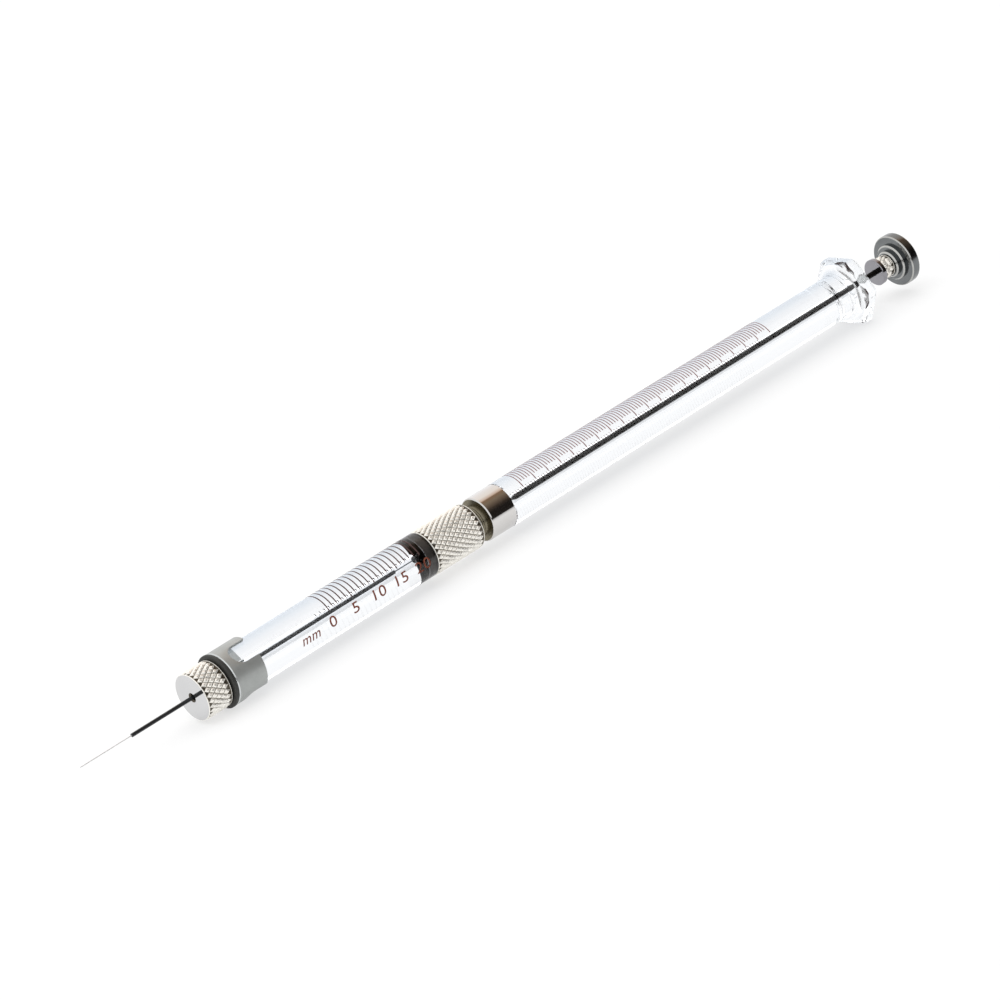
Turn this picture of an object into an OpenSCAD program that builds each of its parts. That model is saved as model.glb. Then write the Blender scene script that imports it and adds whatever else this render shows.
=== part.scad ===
// Microsyringe with a glass depth sleeve in front of its hub, lying along +X.
// The origin is the needle's tip, on the axis. All sizes are in millimetres.

/* [Barrel] */
// Outer diameter of the glass barrel
barrel_d = 8; // [7.2:0.1:9]
// Bore of the glass barrel
barrel_bore_d = 1.06; // [0.9:0.02:1.3]
// Length of the barrel at full diameter, up to the flange
barrel_len = 83.8; // [78:0.5:100]
// Diameter of the stepped spigot that is cemented in the end cap
spigot_d = 6.4; // [5.6:0.1:6.6]
// Length of the spigot
spigot_len = 3.4; // [2.5:0.1:3.8]
// Width across the flats of the six-sided finger flange
flange_af = 12; // [11:0.2:15]
// Thickness of the finger flange
flange_t = 2.8; // [2:0.1:4]
// Radius of the flare between barrel and flange
flare_r = 1.6; // [1:0.1:1.9]
// Radius of the flange's fire-polished edges
flange_edge_r = 0.5; // [0.2:0.05:0.7]
// Diameter of the funnel where the plunger rod enters the flange
funnel_d = 3; // [2:0.1:4]
// Depth of that funnel
funnel_len = 2; // [1:0.1:2.5]

/* [End cap] */
// Length of the polished metal cap on the barrel's front end
cap_len = 5.3; // [5:0.1:7]
// Rounded front shoulder of the cap
cap_shoulder = 0.3; // [0.2:0.05:0.9]
// Diameter of the threaded stem in front of the cap
stem_d = 5.6; // [5:0.1:6]
// Length of the threaded stem
stem_len = 5.1; // [4.6:0.1:6]
// Thickness of the gasket between cap and glass
gasket_t = 0.5; // [0.3:0.05:0.8]

/* [Needle] */
// Outer diameter of the needle
needle_d = 0.21; // [0.2:0.01:0.26]
// Bore of the needle
needle_bore_d = 0.12; // [0.11:0.005:0.14]
// Length of needle that stands out of the guide tube
needle_out = 10.5; // [6:0.5:12]
// Diameter of the flange on the needle's hub
needle_hub_d = 5; // [4.4:0.1:5.2]
// Thickness of that flange
needle_hub_t = 1.2; // [0.8:0.1:1.6]
// Diameter of the hub's neck
needle_neck_d = 2.6; // [2:0.1:2.8]
// Thickness of the needle's seal
needle_seal_t = 1; // [0.6:0.1:1.4]

/* [Hub nut] */
// Diameter over the knurl of the hub nut
hub_d = 8.2; // [8:0.1:9]
// Length of the hub nut
hub_len = 10.5; // [9.8:0.1:12]
// Gap between hub nut and end cap
hub_gap = 2.1; // [1.5:0.1:3]
// Depth of the front pocket that holds the plug
hub_pocket = 3.6; // [3:0.1:4]
// Thickness of the web inside the nut
hub_web = 1.4; // [1:0.1:1.6]
// Step between the sleeve's socket and the nut's pocket, on the diameter
pocket_step = 0.35; // [0.2:0.05:0.5]

/* [Depth sleeve] */
// Outer diameter of the glass depth sleeve
sleeve_d = 8; // [7.4:0.1:8.2]
// Bore of the depth sleeve
sleeve_bore_d = 1.3; // [1.2:0.05:1.6]
// Length of the depth sleeve
sleeve_len = 43; // [38:0.5:50]
// Socket in the sleeve's rear end, diameter
socket_d = 6.6; // [6:0.1:6.8]
// Socket in the sleeve's rear end, depth
socket_len = 1.7; // [1.2:0.1:4]
// Diameter of the plug's centre nose
nose_d = 1.1; // [0.8:0.05:1.15]
// Length of the plug's centre nose
nose_len = 0.8; // [0.5:0.1:2]

/* [Collar] */
// Outer diameter of the steel collar
collar_d = 9.4; // [9:0.1:10]
// Length of the collar
collar_len = 6; // [5.4:0.1:8]
// Thickness of the collar's front wall
collar_front = 0.8; // [0.6:0.1:1]
// Number of windows round the collar
window_n = 3; // [2:1:4]
// Width of each window
window_w = 3.8; // [2.5:0.1:4]
// Plain band in front of the windows
window_band = 1.6; // [1.4:0.1:2]
// Thickness of the rubber washer in front of the collar
washer_t = 0.7; // [0.5:0.1:1]
// Diameter of the rubber washer
washer_d = 9.5; // [8.6:0.1:10]

/* [Front chuck] */
// Diameter of the chuck's threaded nose
chuck_d = 4.5; // [4:0.1:4.8]
// Length of the nose in front of the collar
chuck_len = 4.5; // [4:0.1:4.6]
// Length of the taper that the lock nut closes
chuck_taper = 1; // [0.6:0.1:1.4]
// Diameter of the chuck's rear flange
chuck_flange_d = 7; // [6:0.1:7.6]
// Thickness of the chuck's rear flange
chuck_flange_t = 0.6; // [0.4:0.1:0.8]
// Diameter of the split collet that grips the guide tube
collet_d = 1.8; // [1.4:0.1:2]
// Diameter over the knurl of the lock nut
lock_d = 8.4; // [7.6:0.1:9]
// Length of the lock nut
lock_len = 4.95; // [4.6:0.05:6]

/* [Guide tube] */
// Outer diameter of the black guide tube
guide_d = 0.65; // [0.55:0.05:0.8]
// Gap between the guide tube's rear end and the plug's nose
guide_back = 4.5; // [1:0.5:12]
// Length of guide tube in front of the lock nut
guide_front = 12.7; // [12:0.1:16]

/* [Plunger] */
// Diameter of the plunger rod
rod_d = 1; // [0.8:0.02:1.04]
// Length of the rod's tapered front end
rod_taper = 1; // [0.5:0.1:2]
// Distance from the barrel's front end to the rod's shoulder at rest
rod_start = 2.5; // [1.5:0.1:6]
// Diameter of the plunger wire that runs in the needle
wire_d = 0.1; // [0.09:0.005:0.1]
// Length of wire that is soldered in the rod
wire_set = 3; // [2:0.5:5]
// Gap between flange and thumb button with the plunger pushed home
rod_out = 5.9; // [4:0.1:12]

/* [Thumb button] */
// Diameter of the thumb disc
disc_d = 9.5; // [8:0.1:12]
// Thickness of the thumb disc
disc_t = 1.9; // [1.4:0.1:3]
// Diameter of the large step in front of the disc
step_big_d = 6.6; // [5.4:0.1:7.4]
// Diameter of the small step
step_small_d = 4.9; // [4:0.1:5.2]
// Thickness of each step
step_t = 0.75; // [0.5:0.05:1]
// Diameter of the clamp nut's polished front disc
clamp_disc_d = 4.9; // [4.4:0.1:5.6]
// Thickness of that front disc
clamp_disc_t = 0.9; // [0.6:0.1:1.2]
// Diameter over the knurl of the clamp nut
clamp_d = 4.1; // [3.8:0.1:4.4]
// Length of the clamp nut
clamp_len = 3.35; // [3:0.05:4]
// Diameter of the button's threaded nose
button_nose_d = 2.6; // [2.4:0.1:2.8]
// Diameter of the split chuck that grips the rod
rod_chuck_d = 1.9; // [1.6:0.1:2]

/* [Knurl] */
// Distance between knurl points round the nuts
knurl_pitch = 1; // [0.8:0.05:1.4]
// Distance between knurl points along the nuts
knurl_row = 1.5; // [1.2:0.05:2]
// Depth of the knurl
knurl_depth = 0.26; // [0.15:0.01:0.4]
// Half width of each point's flat top, as a share of the point
knurl_flat = 0.44; // [0.2:0.02:0.6]
// Width of the plain rim at each end of a knurled nut
rim_w = 0.15; // [0.1:0.05:0.4]
// Size of the clamp nut's knurl, as a share of the large nuts' knurl
clamp_knurl = 0.75; // [0.6:0.05:1]

/* [Clearances] */
// Running clearance of sliding pieces, on the radius
run_gap = 0.03; // [0.02:0.01:0.05]
// Clearance of cemented and pressed pieces, on the radius
seat_gap = 0.05; // [0.03:0.01:0.08]
// Clearance of threads, on the radius
thread_gap = 0.08; // [0.05:0.01:0.1]
// Clearance between faces of pieces that turn on each other
turn_gap = 0.25; // [0.15:0.05:0.3]

/* [Hidden] */

$fn = 72;
over = 1;                 // how far a cutter runs past a face
slit_w = 0.2;             // saw cut in a collet
chamfer = 0.25;           // broken edge of a turned part
collar_edge = 0.35;       // rounded front edge of the collar
disc_edge = 0.3;          // rounded edges of the thumb disc
arc_steps = 6;            // straight pieces in a rounded edge
window_turn = 37.5;       // first window, turned from the top towards -Y

// Places along the axis, from the tip backwards
guide_x = needle_out;
lock_x = guide_x + guide_front;
lock_end = lock_x + lock_len;
washer_x = lock_end + turn_gap;
collar_x = washer_x + washer_t;
collar_end = collar_x + collar_len;
chuck_x = collar_x - chuck_len;                   // front end of the chuck
flange_x = collar_x + collar_front;               // chuck flange, behind the collar's wall
sleeve_x = flange_x + chuck_flange_t;
sleeve_end = sleeve_x + sleeve_len;
nose_x = sleeve_end - socket_len - nose_len;      // front end of the plug's nose
guide_end = nose_x - guide_back;
hub_x = sleeve_end + seat_gap;
hub_end = hub_x + hub_len;
web_x = hub_x + hub_pocket;
web_end = web_x + hub_web;
cap_x = hub_end + hub_gap;
cap_end = cap_x + cap_len;
stem_x = cap_x - stem_len;
seal_x = stem_x - needle_seal_t;
needle_flange_x = seal_x - needle_hub_t;
neck_x = web_x - hub_pocket / 2;                  // front end of the needle hub's neck
barrel_x = cap_end + seat_gap;                    // shoulder of the glass
spigot_x = barrel_x - spigot_len;
gasket_x = spigot_x - gasket_t;
barrel_end = barrel_x + barrel_len;               // front face of the finger flange
glass_end = barrel_end + flange_t;
rod_x = barrel_x + rod_start;
clamp_x = glass_end + rod_out;
clamp_end = clamp_x + clamp_len;
step_x = clamp_end + turn_gap / 2;
disc_x = step_x + 2 * step_t;
disc_end = disc_x + disc_t;

// A rod that lies along X from x0 to x1
module rod(x0, x1, d) translate([x0, 0, 0]) rotate([0, 90, 0]) cylinder(d = d, h = x1 - x0);

// A cone that lies along X from x0 to x1
module cone(x0, x1, d0, d1)
    translate([x0, 0, 0]) rotate([0, 90, 0]) cylinder(d1 = d0, d2 = d1, h = x1 - x0);

// A turned shape from an outline of [radius, place along the axis]
module turned(outline) rotate([0, 90, 0]) rotate_extrude(convexity = 6) polygon(outline);

// Points of a quarter round about [r, x], from angle a to angle b
function round_edge(r, x, size, a, b) =
    [for (i = [0 : arc_steps]) let (t = a + (b - a) * i / arc_steps) [r + size * cos(t), x + size * sin(t)]];

// Saw cuts that split a collet into jaws
module slits(x0, x1, d)
    for (turn = [0, 90]) rotate([turn, 0, 0])
        translate([x0, -slit_w / 2, -d / 2 - over]) cube([x1 - x0, slit_w, d + 2 * over]);

// Diamond knurl: two families of helical grooves leave staggered flat-topped points,
// size sets how coarse it is.
// Groove crossings lie on every second spot of a lattice, points on the spots between.
module knurled(x0, x1, d, size) {
    n = round(PI * d / knurl_pitch / size);       // points round the nut
    rows = max(1, round((x1 - x0) / knurl_row / size));
    last = 2 * rows;
    step = 180 / n;                               // half a point, as an angle
    rise = (x1 - x0) / last;                      // half a point, along the axis
    function spot(a, b, r) = [x0 + b * rise, r * sin(a * step), r * cos(a * step)];
    function low(a, b) = b * n + floor(((a + 2 * n) % (2 * n)) / 2);
    function top(a, b, side) = (last + 1) * n + ((b - 1) * n + floor(a / 2)) * 4 + side;
    low_r = d / 2 - knurl_depth * size;
    f = knurl_flat;
    crossings = [for (b = [0 : last]) for (k = [0 : n - 1]) spot(2 * k + b % 2, b, low_r)];
    tops = [for (b = [1 : last - 1]) for (k = [0 : n - 1]) let (a = 2 * k + (b + 1) % 2)
        each [spot(a - f, b, d / 2), spot(a, b - f, d / 2), spot(a + f, b, d / 2), spot(a, b + f, d / 2)]];
    points = [for (b = [1 : last - 1]) for (k = [0 : n - 1])
        let (a = 2 * k + (b + 1) % 2,
             c = [low(a - 1, b), low(a, b - 1), low(a + 1, b), low(a, b + 1)],
             t = [for (side = [0 : 3]) top(a, b, side)])
        each [for (side = [0 : 3]) let (next = (side + 1) % 4)
            each [[c[side], c[next], t[side]], [c[next], t[next], t[side]]],
            [t[0], t[1], t[2]], [t[0], t[2], t[3]]]];
    ends = [for (k = [0 : n - 1]) let (a = 2 * k + 1)
        each [[low(a - 1, 0), low(a + 1, 0), low(a, 1)],
              [low(a - 1, last), low(a, last - 1), low(a + 1, last)]]];
    front = [for (k = [n - 1 : -1 : 0]) low(2 * k, 0)];
    back = [for (k = [0 : n - 1]) low(2 * k, last)];
    polyhedron(points = concat(crossings, tops), faces = concat(points, ends, [front, back]), convexity = 4);
}

// A nut blank: knurled between two plain rims with broken edges
module knurled_nut(x0, x1, d, size = 1) {
    rim_r = d / 2 - knurl_depth * size / 3;
    knurled(x0 + rim_w, x1 - rim_w, d, size);
    turned([[0, x0], [rim_r - rim_w / 2, x0], [rim_r, x0 + rim_w / 2], [rim_r, x0 + rim_w], [0, x0 + rim_w]]);
    turned([[0, x1 - rim_w], [rim_r, x1 - rim_w], [rim_r, x1 - rim_w / 2], [rim_r - rim_w / 2, x1], [0, x1]]);
}

// Glass barrel with a stepped front end, a small bore and a six-sided finger flange
module barrel() color([0.86, 0.92, 0.96, 0.5]) difference() {
    union() {
        turned(concat(
            [[0, spigot_x], [spigot_d / 2, spigot_x], [spigot_d / 2, barrel_x]],
            [[barrel_d / 2 - chamfer / 2, barrel_x], [barrel_d / 2, barrel_x + chamfer / 2]],
            round_edge(barrel_d / 2 + flare_r, barrel_end - flare_r, flare_r, 180, 90),
            [[barrel_d / 2 + flare_r, barrel_end + flange_t / 2], [0, barrel_end + flange_t / 2]]));
        intersection() {
            translate([barrel_end, 0, 0]) rotate([0, 90, 0]) rotate(30)
                cylinder(d = flange_af / cos(30), h = flange_t, $fn = 6);
            turned(concat(
                [[0, barrel_end]],
                round_edge(flange_af / 2 / cos(30) - flange_edge_r - chamfer, barrel_end + flange_edge_r,
                    flange_edge_r, -90, 0),
                round_edge(flange_af / 2 / cos(30) - flange_edge_r - chamfer, glass_end - flange_edge_r,
                    flange_edge_r, 0, 90),
                [[0, glass_end]]));
        }
    }
    turned([[0, spigot_x - over], [barrel_bore_d / 2, spigot_x - over],
        [barrel_bore_d / 2, glass_end - funnel_len], [funnel_d / 2, glass_end],
        [funnel_d / 2, glass_end + over], [0, glass_end + over]]);
}

// Gasket between the glass spigot and the bottom of the end cap
module barrel_gasket() color("whitesmoke") difference() {
    rod(gasket_x, spigot_x, spigot_d);
    rod(gasket_x - over, spigot_x + over, needle_d + 2 * seat_gap);
}

// Polished cap with a threaded stem that carries the hub nut
module end_cap() color([0.78, 0.76, 0.74]) difference() {
    union() {
        turned([[0, stem_x], [stem_d / 2 - chamfer, stem_x], [stem_d / 2, stem_x + chamfer],
            [stem_d / 2, cap_x + over], [0, cap_x + over]]);
        turned(concat([[0, cap_x]],
            round_edge(barrel_d / 2 - cap_shoulder, cap_x + cap_shoulder, cap_shoulder, -90, 0),
            [[barrel_d / 2, cap_end], [0, cap_end]]));
    }
    rod(gasket_x, cap_end + over, spigot_d + 2 * seat_gap);
    rod(stem_x - over, gasket_x + over, needle_d + 2 * seat_gap);
}

// Thin steel needle, a plain tube
module needle() color("silver") difference() {
    rod(0, stem_x + stem_len / 2, needle_d);
    rod(-over, stem_x + stem_len, needle_bore_d);
}

// Steel hub that the hub nut clamps against the stem
module needle_hub() color("silver") difference() {
    union() {
        rod(neck_x, needle_flange_x + needle_hub_t / 2, needle_neck_d);
        rod(needle_flange_x, seal_x, needle_hub_d);
    }
    rod(neck_x - over, seal_x + over, needle_d);
}

// Soft seal between needle hub and stem
module needle_seal() color("white") difference() {
    rod(seal_x, stem_x, needle_hub_d);
    rod(seal_x - over, stem_x + over, needle_d);
}

// Knurled nut that screws on the stem and carries the depth sleeve
module hub_nut() color([0.85, 0.82, 0.72]) difference() {
    knurled_nut(hub_x, hub_end, hub_d);
    rod(hub_x - over, web_x, socket_d + pocket_step + 2 * seat_gap);
    rod(web_x - over, web_end + over, needle_neck_d + 2 * turn_gap);
    rod(web_end, hub_end + over, stem_d + 2 * thread_gap);
}

// Black plug: fills the sleeve's socket and the nut's pocket, its nose centres the needle
module sleeve_plug() color([0.08, 0.08, 0.08]) difference() {
    union() {
        rod(sleeve_end - socket_len, hub_x + over, socket_d - 2 * seat_gap);
        rod(hub_x, web_x, socket_d + pocket_step);
        rod(nose_x, hub_x, nose_d);
    }
    rod(neck_x - turn_gap, web_x + over, needle_neck_d + 2 * turn_gap);
    rod(nose_x - over, neck_x, needle_d + 4 * run_gap);
}

// Thick-walled glass sleeve with a socket in its rear end
module depth_sleeve() color([0.86, 0.92, 0.96, 0.5]) difference() {
    turned([[0, sleeve_x], [sleeve_d / 2 - chamfer, sleeve_x], [sleeve_d / 2, sleeve_x + chamfer],
        [sleeve_d / 2, sleeve_end - chamfer / 2], [sleeve_d / 2 - chamfer / 2, sleeve_end], [0, sleeve_end]]);
    rod(sleeve_x - over, sleeve_end + over, sleeve_bore_d);
    rod(sleeve_end - socket_len, sleeve_end + over, socket_d);
}

// Steel collar: a cup with round-ended windows that open to the rear
module collar() color([0.6, 0.62, 0.6]) difference() {
    turned(concat([[0, collar_x]],
        round_edge(collar_d / 2 - collar_edge, collar_x + collar_edge, collar_edge, -90, 0),
        [[collar_d / 2, collar_end], [0, collar_end]]));
    rod(flange_x, collar_end + over, sleeve_d + 2 * seat_gap);
    rod(collar_x - over, flange_x + over, chuck_d + 2 * seat_gap);
    for (k = [0 : window_n - 1]) rotate([window_turn + 360 * k / window_n, 0, 0]) {
        translate([collar_x + window_band + window_w / 2, 0, 0]) cylinder(d = window_w, h = collar_d);
        translate([collar_x + window_band + window_w / 2, -window_w / 2, 0])
            cube([collar_len, window_w, collar_d]);
    }
}

// Chuck: threaded nose in front, flange clamped between collar and glass
module chuck_body() color([0.72, 0.66, 0.5]) difference() {
    union() {
        turned([[0, chuck_x], [chuck_d / 2 - chuck_taper, chuck_x], [chuck_d / 2, chuck_x + chuck_taper],
            [chuck_d / 2, sleeve_x], [0, sleeve_x]]);
        rod(flange_x, sleeve_x, chuck_flange_d);
    }
    rod(chuck_x - over, sleeve_x + over, collet_d + 2 * seat_gap);
}

// Split collet that the lock nut closes on the guide tube
module grip_collet() color([0.9, 0.9, 0.88]) difference() {
    rod(chuck_x, sleeve_x, collet_d);
    rod(chuck_x - over, sleeve_x + over, guide_d + 2 * run_gap);
    slits(chuck_x - over, collar_x, collet_d);
}

// Rubber washer between lock nut and collar
module lock_washer() color([0.12, 0.12, 0.11]) difference() {
    turned(concat([[0, washer_x]],
        round_edge(washer_d / 2 - washer_t / 3, washer_x + washer_t / 3, washer_t / 3, -90, 0),
        round_edge(washer_d / 2 - washer_t / 3, collar_x - washer_t / 3, washer_t / 3, 0, 90),
        [[0, collar_x]]));
    rod(washer_x - over, collar_x + over, chuck_d + 2 * seat_gap);
}

// Knurled nut with a flat mirror face that locks the guide tube
module lock_nut() color([0.85, 0.82, 0.72]) difference() {
    knurled_nut(lock_x, lock_end, lock_d);
    rod(lock_x - over, lock_end + over, guide_d + 2 * turn_gap);
    cone(lock_x, lock_x + chamfer, guide_d + 2 * turn_gap + 2 * chamfer, guide_d + 2 * turn_gap);
    rod(chuck_x + chuck_taper - turn_gap, lock_end + over, chuck_d + 2 * thread_gap);
    cone(chuck_x - turn_gap, chuck_x + chuck_taper - turn_gap,
        chuck_d + 2 * thread_gap - 2 * chuck_taper, chuck_d + 2 * thread_gap);
}

// Black guide tube: slides on the needle, and its rear end is read on the sleeve
module guide_tube() color([0.1, 0.1, 0.1]) difference() {
    rod(guide_x, guide_end, guide_d);
    rod(guide_x - over, guide_end + over, needle_d + 2 * run_gap);
}

// Plunger rod with a tapered front end
module plunger_rod() color([0.35, 0.35, 0.36]) difference() {
    union() {
        cone(rod_x - rod_taper, rod_x, wire_d + 2 * seat_gap, rod_d);
        rod(rod_x, disc_x - step_t / 2, rod_d);
    }
    rod(rod_x - rod_taper - over, rod_x + wire_set, wire_d + 2 * seat_gap / 5);
}

// Fine wire that fills the needle's bore down to its tip
module plunger_wire() color("silver") rod(seat_gap, rod_x + wire_set, wire_d);

// Split chuck that the clamp nut closes on the rod
module rod_chuck() color([0.8, 0.68, 0.4]) difference() {
    rod(clamp_x + clamp_disc_t + turn_gap, disc_x - step_t / 2, rod_chuck_d);
    rod(clamp_x, disc_x, rod_d + 2 * seat_gap / 5);
    slits(clamp_x, step_x, rod_chuck_d);
}

// Thumb button: threaded nose, two steps and a round disc, turned in one piece
module thumb_button() color([0.5, 0.5, 0.5]) difference() {
    turned(concat(
        [[0, clamp_x + clamp_disc_t + 3 * turn_gap], [button_nose_d / 2, clamp_x + clamp_disc_t + 3 * turn_gap],
            [button_nose_d / 2, step_x], [step_small_d / 2 - chamfer, step_x], [step_small_d / 2, step_x + chamfer],
            [step_small_d / 2, step_x + step_t], [step_big_d / 2 - chamfer, step_x + step_t],
            [step_big_d / 2, step_x + step_t + chamfer], [step_big_d / 2, disc_x]],
        round_edge(disc_d / 2 - disc_edge, disc_x + disc_edge, disc_edge, -90, 0),
        round_edge(disc_d / 2 - disc_edge, disc_end - disc_edge, disc_edge, 0, 90),
        [[0, disc_end]]));
    rod(clamp_x, disc_x - step_t / 2, rod_chuck_d + 2 * seat_gap / 5);
}

// Small knurled nut behind a polished disc, which clamps the rod
module clamp_nut() color([0.85, 0.82, 0.74]) difference() {
    union() {
        turned([[0, clamp_x], [clamp_disc_d / 2 - chamfer / 2, clamp_x], [clamp_disc_d / 2, clamp_x + chamfer / 2],
            [clamp_disc_d / 2, clamp_x + clamp_disc_t - chamfer / 2],
            [clamp_disc_d / 2 - chamfer / 2, clamp_x + clamp_disc_t], [0, clamp_x + clamp_disc_t]]);
        knurled_nut(clamp_x + clamp_disc_t - rim_w, clamp_end, clamp_d, clamp_knurl);
    }
    rod(clamp_x - over, clamp_end + over, rod_d + 4 * seat_gap);
    rod(clamp_x + clamp_disc_t, clamp_end + over, button_nose_d + 2 * thread_gap);
}

barrel();
barrel_gasket();
end_cap();
needle();
needle_hub();
needle_seal();
hub_nut();
sleeve_plug();
depth_sleeve();
collar();
chuck_body();
grip_collet();
lock_washer();
lock_nut();
guide_tube();
plunger_rod();
plunger_wire();
rod_chuck();
thumb_button();
clamp_nut();
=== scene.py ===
from math import atan2, cos, pi, radians, sin

import bpy
from mathutils import Matrix, Vector


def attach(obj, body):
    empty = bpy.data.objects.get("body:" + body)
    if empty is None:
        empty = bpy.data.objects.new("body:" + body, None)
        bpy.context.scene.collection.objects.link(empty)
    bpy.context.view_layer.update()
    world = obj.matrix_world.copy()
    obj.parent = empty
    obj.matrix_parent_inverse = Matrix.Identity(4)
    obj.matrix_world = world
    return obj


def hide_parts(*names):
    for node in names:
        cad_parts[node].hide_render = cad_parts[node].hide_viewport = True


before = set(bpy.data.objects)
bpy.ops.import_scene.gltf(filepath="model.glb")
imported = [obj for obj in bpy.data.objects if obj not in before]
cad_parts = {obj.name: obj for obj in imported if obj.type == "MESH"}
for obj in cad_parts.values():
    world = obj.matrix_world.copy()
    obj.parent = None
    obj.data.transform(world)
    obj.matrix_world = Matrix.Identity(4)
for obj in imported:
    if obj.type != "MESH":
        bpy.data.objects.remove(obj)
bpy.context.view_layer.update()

# ---------------------------------------------------------------- Glass barrel
# The barrel is a thick-walled tube of clear borosilicate glass with a hairline bore. It is drawn
# and turned, its front spigot is cemented in the end cap, and its rear end is flared out to a
# six-sided finger flange with fire-polished edges and a funnel for the plunger rod.
MM = 0.001


def turned(name, outline, around=144):
    """A piece turned about X from (place along X, radius) points in millimetres. An outline that
    ends where it began makes a tube, and any other is closed with flat ends."""
    bpy.ops.object.select_all(action="DESELECT")
    x, r = outline[0]
    bpy.ops.mesh.primitive_circle_add(
        vertices=around, radius=r * MM, location=(x * MM, 0, 0), rotation=(0, pi / 2, 0))
    piece = bpy.context.object
    piece.name = piece.data.name = name
    bpy.ops.object.transform_apply(location=True, rotation=True, scale=True)
    bpy.ops.object.mode_set(mode="EDIT")
    bpy.ops.mesh.select_all(action="SELECT")
    for x1, r1 in outline[1:]:
        bpy.ops.mesh.extrude_region_move(TRANSFORM_OT_translate={"value": ((x1 - x) * MM, 0, 0)})
        if r1 != r:
            bpy.ops.transform.resize(value=(1, r1 / r, r1 / r), center_override=(x1 * MM, 0, 0))
        x, r = x1, r1
    bpy.ops.mesh.select_all(action="SELECT")
    bpy.ops.mesh.remove_doubles(threshold=0.001 * MM)
    if outline[0] != outline[-1]:
        bpy.ops.mesh.fill_holes(sides=0)
    bpy.ops.mesh.normals_make_consistent(inside=False)
    bpy.ops.object.mode_set(mode="OBJECT")
    smooth()
    return piece


def smooth():
    """Shades the active piece's rounds smooth and keeps its flats flat."""
    bpy.ops.object.shade_smooth_by_angle(angle=radians(30))
    bpy.ops.object.modifier_add(type="WEIGHTED_NORMAL")
    even = bpy.context.object.modifiers[-1]
    even.keep_sharp = True
    bpy.ops.object.modifier_apply(modifier=even.name)


def cut(piece, cutter, operation="DIFFERENCE"):
    """Cuts the cutter out of the piece, or welds it on, and leaves nothing else of it."""
    bpy.ops.object.select_all(action="DESELECT")
    piece.select_set(True)
    bpy.context.view_layer.objects.active = piece
    bpy.ops.object.modifier_add(type="BOOLEAN")
    tool = piece.modifiers[-1]
    tool.operation, tool.solver, tool.object = operation, "EXACT", cutter
    bpy.ops.object.modifier_apply(modifier=tool.name)
    bpy.data.objects.remove(cutter)


def choose(piece, corners=(), edges=(), faces=()):
    """Selects only these corners, edges or faces, by number, and goes into edit mode."""
    for part in (piece.data.polygons, piece.data.edges, piece.data.vertices):
        part.foreach_set("select", [False] * len(part))
    for i in corners:
        piece.data.vertices[i].select = True
    for i in edges:
        piece.data.edges[i].select = True
    for i in faces:
        piece.data.polygons[i].select = True
    bpy.ops.object.mode_set(mode="EDIT")
    bpy.ops.mesh.select_mode(type="FACE" if faces else "EDGE" if edges else "VERT")


def soften(piece, width, segments=2):
    """Breaks the piece's sharp edges with a small round."""
    bpy.ops.object.modifier_add(type="BEVEL")
    bevel = piece.modifiers[-1]
    bevel.width, bevel.segments = width * MM, segments
    bevel.limit_method, bevel.angle_limit = "ANGLE", radians(32)
    bpy.ops.object.modifier_apply(modifier=bevel.name)


def rounded(x, r, size, start, end, steps=6):
    """Points of a round about (x, r), from the angle start to end, 0 degrees outwards and 90 backwards."""
    turns = [radians(start + (end - start) * i / steps) for i in range(steps + 1)]
    return [(x + size * sin(t), r + size * cos(t)) for t in turns]


def seat(piece, body, slot, *nodes):
    """The piece rides on a body and stands for the CAD nodes named. The slot is not used."""
    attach(piece, body)
    if nodes:
        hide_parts(*nodes)


def effect(name, inputs, outputs):
    """An empty shader group with named number inputs and outputs."""
    group = bpy.data.node_groups.new(name, "ShaderNodeTree")
    for label, value in inputs.items():
        group.interface.new_socket(label, in_out="INPUT", socket_type="NodeSocketFloat").default_value = value
    for label in outputs:
        group.interface.new_socket(label, in_out="OUTPUT", socket_type="NodeSocketFloat")
    taken, given = group.nodes.new("NodeGroupInput"), group.nodes.new("NodeGroupOutput")
    return group, group.nodes, group.links, taken, given


def node(nodes, kind, **settings):
    """A shader node with its settings."""
    made = nodes.new("ShaderNode" + kind)
    for key, value in settings.items():
        setattr(made, key, value)
    return made


def graded(nodes, start, end, low=0.0, high=1.0, **settings):
    """A shader node that turns values from start to end into values from low to high."""
    made = node(nodes, "MapRange", **settings)
    for socket, value in (("From Min", start), ("From Max", end), ("To Min", low), ("To Max", high)):
        made.inputs[socket].default_value = value
    return made


# Handling: fingertip smudges a few millimetres across with a finer haze in them.
smudges_per_m, haze_per_m = 260.0, 1900.0
handling, nodes, links, taken, given = effect("handling", {"Size": 1.0}, ["Smudge", "Haze"])
place = node(nodes, "TexCoord")
broad = node(nodes, "TexNoise")
broad.inputs["Detail"].default_value = 3.0
fine = node(nodes, "TexNoise")
fine.inputs["Detail"].default_value = 4.0
to_broad = node(nodes, "Math", operation="DIVIDE")
to_broad.inputs[0].default_value = smudges_per_m
to_fine = node(nodes, "Math", operation="DIVIDE")
to_fine.inputs[0].default_value = haze_per_m
for ratio, noise in ((to_broad, broad), (to_fine, fine)):
    links.new(taken.outputs["Size"], ratio.inputs[1])
    links.new(ratio.outputs[0], noise.inputs["Scale"])
    links.new(place.outputs["Object"], noise.inputs["Vector"])
links.new(broad.outputs["Fac"], given.inputs["Smudge"])
links.new(fine.outputs["Fac"], given.inputs["Haze"])


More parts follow.
